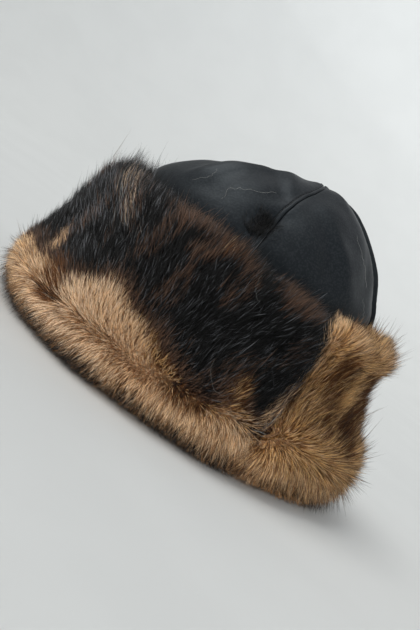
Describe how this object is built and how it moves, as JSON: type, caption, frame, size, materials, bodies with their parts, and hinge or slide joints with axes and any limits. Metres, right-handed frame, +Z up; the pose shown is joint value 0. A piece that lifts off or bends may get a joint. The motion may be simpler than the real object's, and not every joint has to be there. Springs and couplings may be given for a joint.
{
  "type": "shearling hat",
  "caption": "Winter hat with a domed, gored leather crown and a deep turned-up fur cuff, standing on its lower fold.",
  "frame": {"origin": "middle of the hat's outline on the surface it stands on, at the cuff's lower fold", "axes": "+X towards the nape, -X towards the forehead, +Y towards the wearer's right, +Z up along the hat's axis"},
  "size_m": [0.3185, 0.2784, 0.1958],
  "materials": {
    "crown_leather": "soft black nappa, low sheen",
    "front_fur": "deep fur, black above and tan along the fold",
    "rear_fur": "deep golden brown fur with dark tips"
  },
  "bodies": {
    "root": {"crown_gore_front_left": "crown_leather", "crown_gore_front_right": "crown_leather", "crown_gore_rear_left": "crown_leather", "crown_gore_rear_right": "crown_leather", "fur_cuff_front": "front_fur", "fur_cuff_rear": "rear_fur"}
  },
  "joints": []
}
